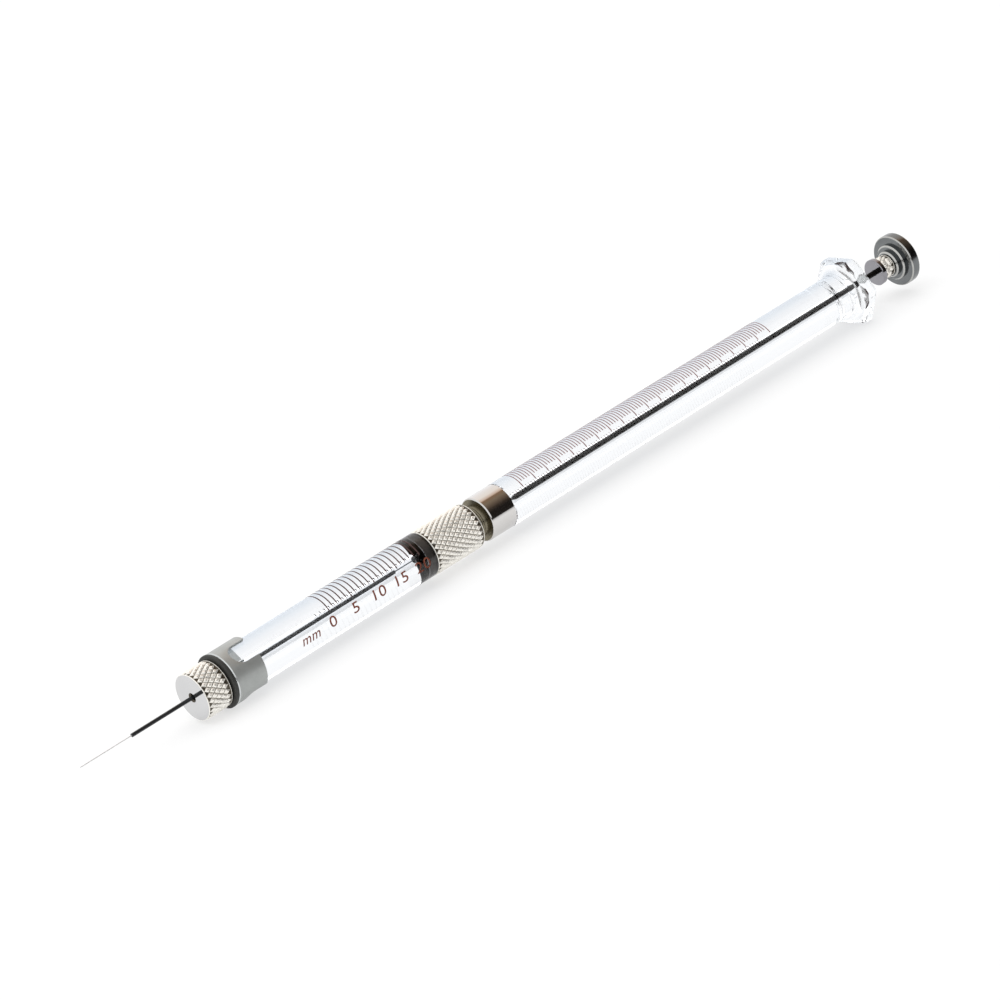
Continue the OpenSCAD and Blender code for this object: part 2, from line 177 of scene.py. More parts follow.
def glass(name, tint, shade):
    """Clear glass with faint smudges. It casts a shadow of the colour shade. A pale blue is painted
    where it faces up and back, in place of a reflection of the sky, and it turns with the piece."""
    up_and_back, sky_blue, from_lean = (0, 0.41, 0.91), (0.50, 0.60, 0.72, 1), 0.4
    made = bpy.data.materials.new(name)
    made.use_nodes = True
    nodes, links = made.node_tree.nodes, made.node_tree.links
    body, out = nodes["Principled BSDF"], nodes["Material Output"]
    body.inputs["Transmission Weight"].default_value = 1.0
    body.inputs["IOR"].default_value = 1.474
    lamps, place, over = node(nodes, "LightPath"), node(nodes, "TexCoord"), graded(nodes, from_lean, 1.0)
    lean, sky = node(nodes, "VectorMath", operation="DOT_PRODUCT"), node(nodes, "Math", operation="MULTIPLY")
    tone = node(nodes, "Mix", data_type="RGBA")
    lean.inputs[1].default_value = up_and_back
    tone.inputs["A"].default_value, tone.inputs["B"].default_value = (*tint, 1), sky_blue
    links.new(place.outputs["Normal"], lean.inputs[0])
    links.new(lean.outputs["Value"], over.inputs["Value"])
    links.new(over.outputs["Result"], sky.inputs[0])
    links.new(lamps.outputs["Is Camera Ray"], sky.inputs[1])
    links.new(sky.outputs[0], tone.inputs["Factor"])
    links.new(tone.outputs["Result"], body.inputs["Base Color"])
    marks = node(nodes, "Group")
    marks.node_tree = handling
    marks.inputs["Size"].default_value = 1.4
    dull = graded(nodes, 0.5, 0.8, 0.0, 0.006)
    links.new(marks.outputs["Smudge"], dull.inputs["Value"])
    links.new(dull.outputs["Result"], body.inputs["Roughness"])
    clear, either = node(nodes, "BsdfTransparent"), node(nodes, "MixShader")
    clear.inputs["Color"].default_value = (*shade, 1)
    soft = node(nodes, "Math", operation="MAXIMUM")
    links.new(lamps.outputs["Is Shadow Ray"], soft.inputs[0])
    links.new(lamps.outputs["Is Diffuse Ray"], soft.inputs[1])
    links.new(soft.outputs[0], either.inputs["Fac"])
    links.new(body.outputs["BSDF"], either.inputs[1])
    links.new(clear.outputs["BSDF"], either.inputs[2])
    links.new(either.outputs["Shader"], out.inputs["Surface"])
    return made


clear_glass = glass("clear_glass", (0.965, 0.98, 1.0), (0.55, 0.57, 0.60))

barrel_r, bore_r, spigot_r = 4.0, 0.53, 3.2
spigot_x, shoulder_x, flange_x, glass_end = 88.1, 91.5, 175.3, 178.1
flare, flange_flat, flange_corner, flange_edge = 1.6, 6.0, 0.97, 0.5
funnel_r, funnel_x = 1.5, 176.1
glass_edge, tube_rings, into_flange, past_end = 0.125, (120, 150), 1.2, 1.0

barrel = turned(
    "barrel_glass",
    [(spigot_x, spigot_r), (shoulder_x, spigot_r), (shoulder_x, barrel_r - glass_edge),
     (shoulder_x + glass_edge, barrel_r)]
    + [(x, barrel_r) for x in tube_rings]
    + rounded(flange_x - flare, barrel_r + flare, flare, 180, 90, 12)
    + [(flange_x + into_flange, barrel_r + flare)], around=192)
bpy.ops.object.select_all(action="DESELECT")
bpy.ops.mesh.primitive_cylinder_add(
    vertices=6, radius=flange_flat / cos(pi / 6) * MM, depth=(glass_end - flange_x) * MM,
    location=((glass_end + flange_x) / 2 * MM, 0, 0), rotation=(0, pi / 2, 0))
flange = bpy.context.object
bpy.ops.object.transform_apply(location=True, rotation=True, scale=True)
ends = [[flange.data.vertices[i].co for i in edge.vertices] for edge in flange.data.edges]
choose(flange, edges=[i for i, (a, b) in enumerate(ends) if abs(a.x - b.x) > MM])
bpy.ops.mesh.bevel(offset=flange_corner * MM, segments=8, affect="EDGES")
bpy.ops.object.mode_set(mode="OBJECT")
soften(flange, flange_edge, 6)
cut(barrel, flange, "UNION")
cut(barrel, turned(
    "bore", [(spigot_x - past_end, bore_r), (funnel_x, bore_r), (glass_end, funnel_r),
             (glass_end + past_end, funnel_r + 0.5)], around=96))
smooth()
barrel.data.materials.clear()
barrel.data.materials.append(clear_glass)
seat(barrel, "barrel_body", "glass", "barrel")

# ---------------------------------------------------------------- Barrel scale
# The barrel's scale is fired on in thin red-brown lines: a hundred small steps of 0.6 mm, and a
# longer line at every fifth. Each line is a strip of ink that runs over the top of the glass.


def toned(name, dark, light, size, mark="Smudge"):
    """A material whose colour goes from dark to light with the marks of handling, and its nodes."""
    made = bpy.data.materials.new(name)
    made.use_nodes = True
    nodes, links = made.node_tree.nodes, made.node_tree.links
    body, marks, tone = nodes["Principled BSDF"], node(nodes, "Group"), node(nodes, "Mix", data_type="RGBA")
    marks.node_tree = handling
    marks.inputs["Size"].default_value = size
    tone.inputs["A"].default_value, tone.inputs["B"].default_value = (*dark, 1), (*light, 1)
    links.new(marks.outputs[mark], tone.inputs["Factor"])
    links.new(tone.outputs["Result"], body.inputs["Base Color"])
    return made, nodes, links, body, marks, tone


def ink(name, dark, light):
    """Fired ink: a matt colour, darker and lighter in fine specks, that lets some light through."""
    made, nodes, links, body, marks, tone = toned(name, dark, light, 0.35, "Haze")
    body.inputs["Roughness"].default_value = 0.55
    thin, both, out = node(nodes, "BsdfTransparent"), node(nodes, "MixShader"), nodes["Material Output"]
    both.inputs["Fac"].default_value = 0.45
    links.new(tone.outputs["Result"], thin.inputs["Color"])
    links.new(body.outputs["BSDF"], both.inputs[1])
    links.new(thin.outputs["BSDF"], both.inputs[2])
    links.new(both.outputs["Shader"], out.inputs["Surface"])
    return made


scale_ink = ink("scale_ink", (0.27, 0.12, 0.115), (0.46, 0.26, 0.25))
INK_T = 0.012


def lines(name, paint, x, count, pitch, width, radius, start, end, steps):
    """A row of strips of ink round the glass, from the angle start over the top to the angle end, in
    degrees from the top towards -Y."""
    bpy.ops.object.select_all(action="DESELECT")
    low = Vector((x, -radius * sin(radians(start)), radius * cos(radians(start))))
    bpy.ops.mesh.primitive_plane_add(size=width * MM, location=(low - Vector((0, width / 2, 0))) * MM)
    strip = bpy.context.object
    strip.name = strip.data.name = name
    bpy.ops.object.transform_apply(location=True, rotation=True, scale=True)
    choose(strip, [v.index for v in strip.data.vertices if v.co.y < (low.y - width / 2) * MM])
    bpy.ops.mesh.delete(type="VERT")
    bpy.ops.mesh.select_all(action="SELECT")
    bpy.ops.mesh.spin(steps=steps, angle=radians(start - end), center=(0, 0, 0), axis=(1, 0, 0))
    bpy.ops.object.mode_set(mode="OBJECT")
    bpy.ops.object.modifier_add(type="SOLIDIFY")
    skin = strip.modifiers[-1]
    skin.thickness, skin.offset = INK_T * MM, 0
    bpy.ops.object.modifier_apply(modifier=skin.name)
    bpy.ops.object.mode_set(mode="EDIT")
    bpy.ops.mesh.select_all(action="SELECT")
    bpy.ops.mesh.normals_make_consistent(inside=False)
    bpy.ops.object.mode_set(mode="OBJECT")
    if count > 1:
        bpy.ops.object.modifier_add(type="ARRAY")
        row = strip.modifiers[-1]
        row.count, row.use_relative_offset, row.use_constant_offset = count, False, True
        row.constant_offset_displace = (pitch * MM, 0, 0)
        bpy.ops.object.modifier_apply(modifier=row.name)
    strip.data.materials.append(paint)
    return strip


def joined(name, *pieces):
    """Several meshes made one."""
    bpy.ops.object.select_all(action="DESELECT")
    for piece in pieces:
        piece.select_set(True)
    bpy.context.view_layer.objects.active = pieces[0]
    bpy.ops.object.join()
    pieces[0].name = pieces[0].data.name = name
    return pieces[0]


barrel_zero, barrel_step = 94.8, 0.6
barrel_scale = joined(
    "barrel_scale",
    lines("short_lines", scale_ink, barrel_zero, 101, barrel_step, 0.17, barrel_r + INK_T, 41, -75, 16),
    lines("long_lines", scale_ink, barrel_zero, 21, 5 * barrel_step, 0.19, barrel_r + INK_T, 54, 41, 4))
seat(barrel_scale, "barrel_body", "glass")

# ---------------------------------------------------------------- End cap
# The cap is turned from steel and polished bright. Its threaded stem stands out in front and
# carries the hub nut, and the glass is cemented in behind. The stem and the cap's front face are
# coloured a dark olive brown; on the front face this is painted shade.

# Turning marks: fine rings from the lathe, on flat faces as well as round them.
turning, nodes, links, taken, given = effect("turning", {"Pitch": 0.05}, ["Height"])
place, apart = node(nodes, "TexCoord"), node(nodes, "SeparateXYZ")
across, along = node(nodes, "CombineXYZ"), node(nodes, "CombineXYZ")
reach = node(nodes, "VectorMath", operation="LENGTH")
rings, per = node(nodes, "TexNoise"), node(nodes, "Math", operation="DIVIDE")
per.inputs[0].default_value = 1 / MM
rings.inputs["Detail"].default_value = 2.0
links.new(place.outputs["Object"], apart.inputs[0])
links.new(apart.outputs["Y"], across.inputs["Y"])
links.new(apart.outputs["Z"], across.inputs["Z"])
links.new(across.outputs[0], reach.inputs[0])
links.new(apart.outputs["X"], along.inputs["X"])
links.new(reach.outputs["Value"], along.inputs["Y"])
links.new(taken.outputs["Pitch"], per.inputs[1])
links.new(per.outputs[0], rings.inputs["Scale"])
links.new(along.outputs[0], rings.inputs["Vector"])
links.new(rings.outputs["Fac"], given.inputs["Height"])


def metal(name, dark, light, smoothest, roughest, pitch=0.05, marks_depth=0.0008, size=1.0):
    """Turned metal: smudges change its tone and gloss, and turning marks catch the light."""
    made, nodes, links, body, marks, tone = toned(name, dark, light, size)
    body.inputs["Metallic"].default_value = 1.0
    gloss = graded(nodes, 0.3, 0.7, smoothest, roughest)
    links.new(marks.outputs["Haze"], gloss.inputs["Value"])
    links.new(gloss.outputs["Result"], body.inputs["Roughness"])
    lathe, bump = node(nodes, "Group"), node(nodes, "Bump")
    lathe.node_tree = turning
    lathe.inputs["Pitch"].default_value = pitch
    bump.inputs["Strength"].default_value = 0.5
    bump.inputs["Distance"].default_value = marks_depth * MM
    links.new(lathe.outputs["Height"], bump.inputs["Height"])
    links.new(bump.outputs["Normal"], body.inputs["Normal"])
    return made


polished = metal("polished_steel", (0.64, 0.62, 0.60), (0.73, 0.72, 0.71), 0.04, 0.10)
cap_x, cap_end, cap_r, cap_shoulder = 86.15, 91.45, 4.0, 0.3
stem_x, stem_r, thread_step, thread_depth = 81.05, 2.8, 0.4, 0.13
gasket_x, cement, needle_hole = 87.6, 3.25, 0.155
stem_lead, stem_neck, cap_edge, thread_turns = 0.25, 0.3, 0.08, 11
thread = [point for i in range(thread_turns) for point in (
    (stem_x + stem_lead + thread_step * i, stem_r),
    (stem_x + stem_lead + thread_step * (i + 0.5), stem_r - thread_depth))]
end_cap = turned(
    "end_cap_steel",
    [(stem_x, needle_hole), (stem_x, stem_r - stem_lead)] + thread
    + [(cap_x - stem_neck, stem_r), (cap_x, stem_r)]
    + rounded(cap_x + cap_shoulder, cap_r - cap_shoulder, cap_shoulder, -90, 0, 10)
    + [(cap_end - cap_edge, cap_r), (cap_end, cap_r - cap_edge), (cap_end, cement), (gasket_x, cement),
       (gasket_x, needle_hole), (stem_x, needle_hole)])
end_cap.data.materials.append(polished)
end_cap.data.materials.append(metal("dark_stem_and_face", (0.16, 0.14, 0.10), (0.26, 0.235, 0.17), 0.22, 0.36))
# The stem and the cap's front face take the dark olive metal, which is painted shade on the face.
for face in end_cap.data.polygons:
    if face.center.x / MM < cap_x + 0.01:
        face.material_index = 1
seat(end_cap, "barrel_body", "polished_cap", "end_cap")

# ---------------------------------------------------------------- Gasket, needle hub and seal
# These three are plain moulded or turned rings: a soft gasket under the glass, the steel hub that
# carries the needle, and its soft seal between hub and stem. The white plastic is painted to glow a
# little, because the gasket, seen through the length of the glass, would look too dark.


def moulded(name, dark, light, rough, bump_height=0.004):
    """Moulded plastic or rubber: an even colour with a fine grain."""
    made, nodes, links, body, marks, tone = toned(name, dark, light, 0.5)
    bump = node(nodes, "Bump")
    links.new(marks.outputs["Haze"], bump.inputs["Height"])
    bump.inputs["Strength"].default_value = 0.4
    bump.inputs["Distance"].default_value = bump_height * MM
    links.new(bump.outputs["Normal"], body.inputs["Normal"])
    body.inputs["Roughness"].default_value = rough
    return made


def finished(cad_node, made):
    """A CAD node that keeps its mesh takes a material."""
    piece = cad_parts[cad_node]
    piece.data.materials.clear()
    piece.data.materials.append(made)


white_plastic = moulded("white_plastic", (0.78, 0.78, 0.76), (0.88, 0.88, 0.86), 0.4)
glowing = white_plastic.node_tree.nodes["Principled BSDF"].inputs
glowing["Emission Color"].default_value = (0.90, 0.93, 0.92, 1)
glowing["Emission Strength"].default_value = 0.55
hub_steel = metal("hub_steel", (0.50, 0.50, 0.50), (0.62, 0.62, 0.61), 0.15, 0.28)
finished("barrel_gasket", white_plastic)
finished("needle_seal", white_plastic)
finished("needle_hub", hub_steel)

# ---------------------------------------------------------------- Needle
# The needle is a hair-thin drawn steel tube. It runs from the hub through plug, sleeve and guide
# tube to its square-cut tip, which is the origin of the part. Its rear part, which lies inside the
# sleeve and the nut, is coloured dark as painted shade.
needle_steel = metal("needle_steel", (0.80, 0.80, 0.81), (0.90, 0.90, 0.91), 0.25, 0.40, pitch=0.02)
needle_steel.node_tree.nodes["Principled BSDF"].inputs["Metallic"].default_value = 0.7
needle_end, needle_r, needle_bore, tip_edge, shade_x = 83.6, 0.105, 0.06, 0.01, 60
needle = turned("needle_tube", [
    (0, needle_bore), (0, needle_r - tip_edge), (tip_edge, needle_r), (shade_x, needle_r),
    (needle_end, needle_r), (needle_end, needle_bore), (0, needle_bore)], around=32)
needle.data.materials.append(needle_steel)
# Painted shade: the needle's rear part takes a dark steel for the shade it lies in.
needle.data.materials.append(
    metal("needle_dull", (0.09, 0.10, 0.11), (0.16, 0.17, 0.18), 0.25, 0.40, pitch=0.02))
for face in needle.data.polygons:
    if face.center.x > shade_x * MM:
        face.material_index = 1
seat(needle, "barrel_body", "needle_steel", "needle")

# ---------------------------------------------------------------- Hub nut
# The hub nut is turned from brass, diamond-knurled between two plain rims and nickel-plated. It
# screws on the cap's stem, and its front pocket holds the black plug and the glass sleeve.
knurl_depth = 0.26


def knurled(name, before, x0, x1, diameter, after, size=1.0):
    """A knurled ring of the outline before, a diamond knurl from x0 to x1, and the outline after. Every
    second spot of a lattice is cut down to a groove crossing, and the points between are capped flat."""
    pitch, row, depth, flat = 1.0 * size, 1.5 * size, knurl_depth * size, 44
    n = round(pi * diameter / pitch)
    rows = max(1, round((x1 - x0) / row))
    low = diameter / 2 - depth
    peak = (diameter / 2 - low * flat / 100) / (1 - flat / 100)
    step = (x1 - x0) / (2 * rows)
    stations = [(x0, low)] + [(x0 + step * b, peak) for b in range(1, 2 * rows)] + [(x1, low)]
    nut = turned(name, before + stations + after, around=2 * n)
    crossings, points = set(), set()
    for v in nut.data.vertices:
        b = (v.co.x / MM - x0) / step
        on_ring = abs(v.co.yz.length / MM - peak) < 0.002 and abs(b - round(b)) < 0.01
        if on_ring:
            a = round(atan2(v.co.y, v.co.z) / (pi / n))
            (points if (a + round(b)) % 2 else crossings).add(v.index)
    choose(nut, crossings)
    bpy.ops.transform.resize(value=(1, low / peak, low / peak), center_override=(0, 0, 0))
    bpy.ops.object.mode_set(mode="OBJECT")
    choose(nut, faces=[face.index for face in nut.data.polygons if any(i in points for i in face.vertices)])
    bpy.ops.mesh.quads_convert_to_tris(quad_method="SHORTEST_DIAGONAL")
    bpy.ops.object.mode_set(mode="OBJECT")
    choose(nut, points)
    bpy.ops.mesh.bevel(offset_type="PERCENT", offset_pct=flat, affect="VERTICES")
    bpy.ops.object.mode_set(mode="OBJECT")
    soften(nut, 0.025, 1)
    bpy.ops.object.shade_smooth_by_angle(angle=radians(20))
    return nut


def plating(name, top, size=1.0):
    """Nickel plate on a knurl of the radius top: bright on the points, with painted shade down in the
    grooves.
    """
    made = metal(name, (0.97, 0.93, 0.85), (1.0, 0.98, 0.93), 0.18, 0.28, marks_depth=0.0003)
    nodes, links = made.node_tree.nodes, made.node_tree.links
    body = nodes["Principled BSDF"]
    body.inputs["Metallic"].default_value = 0.6
    unshaded = body.inputs["Base Color"].links[0].from_socket
    place, apart, across = node(nodes, "TexCoord"), node(nodes, "SeparateXYZ"), node(nodes, "CombineXYZ")
    groove, unshaded_from = top - knurl_depth * size, top - 0.72 * knurl_depth * size
    reach, groove_shade = node(nodes, "VectorMath", operation="LENGTH"), node(nodes, "Mix", data_type="RGBA")
    depth = graded(nodes, groove * MM, unshaded_from * MM, interpolation_type="SMOOTHSTEP")
    # Painted shade: the colour goes dark towards the bottom of the grooves, by distance from the axis.
    groove_shade.inputs["A"].default_value = (0.09, 0.075, 0.055, 1)
    links.new(place.outputs["Object"], apart.inputs[0])
    links.new(apart.outputs["Y"], across.inputs["Y"])
    links.new(apart.outputs["Z"], across.inputs["Z"])
    links.new(across.outputs[0], reach.inputs[0])
    links.new(reach.outputs["Value"], depth.inputs["Value"])
    links.new(depth.outputs["Result"], groove_shade.inputs["Factor"])
    links.new(unshaded, groove_shade.inputs["B"])
    links.new(groove_shade.outputs["Result"], body.inputs["Base Color"])
    return made


hub_x, hub_end, hub_d, rim = 73.55, 84.05, 8.2, 0.15
pocket_r, web_x, thread_x, thread_r, hub_hole = 3.525, 77.15, 78.55, 2.88, 1.55
rim_r = hub_d / 2 - knurl_depth / 3
hub_nut = knurled(
    "hub_nut_knurled",
    [(hub_x, pocket_r), (hub_x, rim_r - rim / 2), (hub_x + rim / 2, rim_r), (hub_x + rim, rim_r)],
    hub_x + rim, hub_end - rim, hub_d,
    [(hub_end - rim, rim_r), (hub_end - rim / 2, rim_r), (hub_end, rim_r - rim / 2), (hub_end, thread_r),
     (thread_x, thread_r), (thread_x, hub_hole), (web_x, hub_hole), (web_x, pocket_r), (hub_x, pocket_r)])
hub_nut.data.materials.append(plating("hub_nickel", hub_d / 2))
seat(hub_nut, "sleeve_body", "knurled_nickel", "hub_nut")

# ---------------------------------------------------------------- Plug
# The plug is turned from black plastic. It fills the socket in the sleeve and the pocket in the
# nut, and its small nose guides the needle on the axis.
black_plastic = moulded("black_plastic", (0.016, 0.013, 0.010), (0.030, 0.024, 0.019), 0.42)
nose_x, socket_x, shoulder, neck_x = 71.0, 71.8, 73.5, 75.1
nose_r, nose_edge, nose_hole, in_socket, in_pocket = 0.55, 0.08, 0.165, 3.25, 3.47
plug = turned("sleeve_plug_black", [
    (nose_x, nose_hole), (nose_x, nose_r - nose_edge), (nose_x + nose_edge, nose_r), (socket_x, nose_r),
    (socket_x, in_socket), (shoulder, in_socket), (shoulder, in_pocket), (web_x, in_pocket),
    (web_x, hub_hole), (neck_x, hub_hole), (neck_x, nose_hole), (nose_x, nose_hole)])
plug.data.materials.append(black_plastic)
seat(plug, "sleeve_body", "black_plastic", "sleeve_plug")

# ---------------------------------------------------------------- Depth sleeve
# The sleeve is a thick glass tube of the same size as the barrel, ground square at both ends. Its
# rear end has a socket whose wall is coated with black cement, so the plug shows right across.
sleeve_x, sleeve_end, sleeve_r, sleeve_bore, socket_r = 30.5, 73.5, 4.0, 0.65, 3.3
ground_edge, sleeve_spans, span = 0.25, 8, 5.3125
sleeve = turned(
    "depth_sleeve_glass",
    [(sleeve_x, sleeve_bore), (sleeve_x, sleeve_r - ground_edge), (sleeve_x + ground_edge, sleeve_r)]
    + [(sleeve_x + ground_edge + span * i, sleeve_r) for i in range(1, sleeve_spans)]
    + [(sleeve_end - glass_edge, sleeve_r), (sleeve_end, sleeve_r - glass_edge), (sleeve_end, socket_r),
       (socket_x, socket_r), (socket_x, sleeve_bore), (sleeve_x, sleeve_bore)], around=192)
sleeve.data.materials.append(clear_glass)
sleeve.data.materials.append(moulded("black_cement", (0.020, 0.015, 0.011), (0.038, 0.029, 0.022), 0.6))
for face in sleeve.data.polygons:
    reach = face.center.yz.length / MM
    if face.center.x / MM > socket_x + 0.01 and reach < sleeve_r - glass_edge - 0.005:
        face.material_index = 1
seat(sleeve, "sleeve_body", "glass", "depth_sleeve")

# ---------------------------------------------------------------- Sleeve scale
# The depth scale is fired on the sleeve: lines every millimetre up to 20, longer ones with
# numerals at every fifth, and the unit in front of the first numeral.
line_ink = ink("line_ink", (0.10, 0.052, 0.048), (0.21, 0.125, 0.115))
text_ink = ink("text_ink", (0.25, 0.058, 0.030), (0.40, 0.12, 0.065))
sleeve_zero, text_turn, text_size = 50.6, 90.5, 2.65


def lettering(text, x, size, turn, wide=1.0, slant=0.0):
    """A line of lettering on the sleeve, centred at x and at the angle turn, wrapped on the glass."""
    above, slices, slice_step = 5.0, 10, 0.15
    bpy.ops.object.select_all(action="DESELECT")
    bpy.ops.object.text_add()
    line = bpy.context.object
    line.data.body, line.data.size = text, size * MM
    line.data.align_x, line.data.align_y = "CENTER", "CENTER"
    line.data.offset, line.data.shear, line.data.space_character = 0.004 * size * MM, slant, 1.08
    line.data.resolution_u = 6
    bpy.ops.object.convert(target="MESH")
    line = bpy.context.object
    bpy.ops.object.mode_set(mode="EDIT")
    for i in range(-slices, slices + 1):
        bpy.ops.mesh.select_all(action="SELECT")
        bpy.ops.mesh.bisect(plane_co=(0, i * slice_step * MM, 0), plane_no=(0, 1, 0))
    bpy.ops.object.mode_set(mode="OBJECT")
    line.matrix_world = (Matrix.Rotation(radians(turn), 4, "X") @ Matrix.Translation((x * MM, 0, above * MM))
                         @ Matrix.Diagonal((wide, 1, 1, 1)))
    bpy.ops.object.modifier_add(type="SHRINKWRAP")
    wrap = line.modifiers[-1]
    wrap.target, wrap.wrap_method, wrap.use_project_z = sleeve, "PROJECT", True
    wrap.use_positive_direction, wrap.use_negative_direction, wrap.offset = False, True, INK_T / 2 * MM
    bpy.ops.object.modifier_apply(modifier=wrap.name)
    bpy.ops.object.transform_apply(location=True, rotation=True, scale=True)
    bpy.ops.object.modifier_add(type="SOLIDIFY")
    skin = line.modifiers[-1]
    skin.thickness, skin.offset = INK_T * MM, 1
    bpy.ops.object.modifier_apply(modifier=skin.name)
    line.data.materials.clear()
    line.data.materials.append(text_ink)
    return line


sleeve_scale = joined(
    "sleeve_scale",
    lines("millimetres", line_ink, sleeve_zero, 21, 1.0, 0.23, sleeve_r + INK_T, 57, -75, 18),
    lines("fives", line_ink, sleeve_zero, 5, 5.0, 0.23, sleeve_r + INK_T, 63, 57, 2),
    *[lettering(str(5 * i), sleeve_zero - 0.2 + 5 * i, text_size, text_turn, 1.2) for i in range(5)],
    lettering("mm", 45.4, text_size * 0.95, text_turn + 3, 1.0, 0.2))
seat(sleeve_scale, "sleeve_body", "glass")

# ---------------------------------------------------------------- Collar
# The collar is a deep-drawn steel cup with a satin finish. Three round-ended windows open to its
# rear edge, and its rounded front edge carries the rubber washer. That front edge takes a lighter,
# smoother steel, whose lighter colour is a painted highlight.
satin = metal("satin_steel", (0.38, 0.395, 0.385), (0.50, 0.515, 0.505), 0.42, 0.55, pitch=0.03,
              marks_depth=0.0015, size=0.6)
satin.node_tree.nodes["Principled BSDF"].inputs["Metallic"].default_value = 0.75
collar_x, collar_end, collar_r, collar_in, collar_edge = 29.1, 35.1, 4.7, 4.05, 0.35
collar_hole, collar_wall = 2.3, 0.8
windows, window_r, window_x, window_turn = 3, 1.9, 30.7, 37.5
collar = turned(
    "collar_steel",
    [(collar_x, collar_hole)]
    + rounded(collar_x + collar_edge, collar_r - collar_edge, collar_edge, -90, 0, 8)
    + [(collar_end, collar_r), (collar_end, collar_in), (collar_x + collar_wall, collar_in),
       (collar_x + collar_wall, collar_hole), (collar_x, collar_hole)], around=192)
for k in range(windows):
    bpy.ops.object.select_all(action="DESELECT")
    bpy.ops.mesh.primitive_cylinder_add(
        vertices=64, radius=window_r * MM, depth=4 * MM, location=((window_x + window_r) * MM, 0, 4.5 * MM))
    cutter = bpy.context.object
    bpy.ops.object.transform_apply(location=True, rotation=True, scale=True)
    choose(cutter, [v.index for v in cutter.data.vertices if v.co.x > (window_x + window_r + 0.01) * MM])
    bpy.ops.transform.translate(value=(6 * MM, 0, 0))
    bpy.ops.object.mode_set(mode="OBJECT")
    cutter.matrix_world = Matrix.Rotation(radians(window_turn + 360 / windows * k), 4, "X")
    bpy.ops.object.transform_apply(location=True, rotation=True, scale=True)
    cut(collar, cutter)
soften(collar, 0.07, 2)
smooth()
collar.data.materials.clear()
collar.data.materials.append(satin)
# Painted highlight: the rounded front edge is coloured lighter than the rest of the cup.
collar.data.materials.append(metal("front_edge_highlight", (0.62, 0.64, 0.64), (0.74, 0.76, 0.76), 0.18, 0.30))
for face in collar.data.polygons:
    if face.center.x / MM < collar_x + 0.3 and face.center.yz.length / MM > collar_r - 0.3:
        face.material_index = 1
seat(collar, "sleeve_body", "brushed_collar", "collar")

# ---------------------------------------------------------------- Chuck and collet
# Behind the lock nut a turned brass chuck with a tapered nose holds a split collet of white plastic,
# which closes on the guide tube. Only a little of them shows through the sleeve's front end.
brass = metal("brass", (0.55, 0.42, 0.22), (0.68, 0.54, 0.30), 0.18, 0.32)
finished("chuck_body", brass)
# The collet takes the same white plastic, painted to glow a little as the gasket's does.
finished("grip_collet", white_plastic)

# ---------------------------------------------------------------- Washer
# A flat ring of black rubber, moulded with rounded edges, sits on the chuck and lies against the
# collar's front.
rubber = moulded("black_rubber", (0.016, 0.016, 0.014), (0.040, 0.040, 0.036), 0.55, 0.008)
washer_x, washer_r, washer_edge = 28.4, 4.75, 0.23
washer = turned(
    "lock_washer_rubber",
    [(washer_x, collar_hole)]
    + rounded(washer_x + washer_edge, washer_r - washer_edge, washer_edge, -90, 0, 5)
    + rounded(collar_x - washer_edge, washer_r - washer_edge, washer_edge, 0, 90, 5)
    + [(collar_x, collar_hole), (washer_x, collar_hole)])
washer.data.materials.append(rubber)
seat(washer, "sleeve_body", "black_rubber", "lock_washer")

# ---------------------------------------------------------------- Lock nut
# The lock nut is knurled and plated as the hub nut is, but its front is lapped to a flat mirror.
# The guide tube passes through a small chamfered hole in the middle.
lock_x, lock_end, lock_d = 23.2, 28.15, 8.4
tube_hole, hole_edge, face_ring, chuck_hole, taper_x, taper_end = 0.575, 0.25, 2.2, 2.33, 24.35, 25.35
rim_r = lock_d / 2 - knurl_depth / 3
lock_nut = knurled(
    "lock_nut_knurled",
    [(lock_x + hole_edge, tube_hole), (lock_x, tube_hole + hole_edge), (lock_x, face_ring),
     (lock_x, rim_r - rim / 2), (lock_x + rim / 2, rim_r), (lock_x + rim, rim_r)],
    lock_x + rim, lock_end - rim, lock_d,
    [(lock_end - rim, rim_r), (lock_end - rim / 2, rim_r), (lock_end, rim_r - rim / 2),
     (lock_end, chuck_hole), (taper_end, chuck_hole), (taper_x, chuck_hole - 1), (taper_x, tube_hole),
     (lock_x + hole_edge, tube_hole)])
lock_nut.data.materials.append(plating("lock_nickel", lock_d / 2))
lock_nut.data.materials.append(
    metal("lapped_nickel", (0.60, 0.60, 0.61), (0.68, 0.68, 0.68), 0.03, 0.06, marks_depth=0.0002, size=2.0))
for face in lock_nut.data.polygons:
    if face.center.x / MM < lock_x + 0.005:
        face.material_index = 1
seat(lock_nut, "lock_body", "knurled_nickel", "lock_nut")

# ---------------------------------------------------------------- Guide tube
# The guide tube is drawn steel tube, coated black. It slides on the needle through the collet, and
# its rear end is read on the depth scale.
black_coat = moulded("black_coat", (0.004, 0.005, 0.006), (0.010, 0.012, 0.014), 0.36, 0.001)
guide_x, guide_end, guide_r, guide_bore, guide_edge = 10.5, 66.5, 0.325, 0.135, 0.03
guide = turned("guide_tube_black", [
    (guide_x, guide_bore), (guide_x, guide_r - guide_edge), (guide_x + guide_edge, guide_r),
    (guide_end - guide_edge, guide_r), (guide_end, guide_r - guide_edge), (guide_end, guide_bore),
    (guide_x, guide_bore)], around=64)
guide.data.materials.append(black_coat)
seat(guide, "guide_body", "guide_black", "guide_tube")

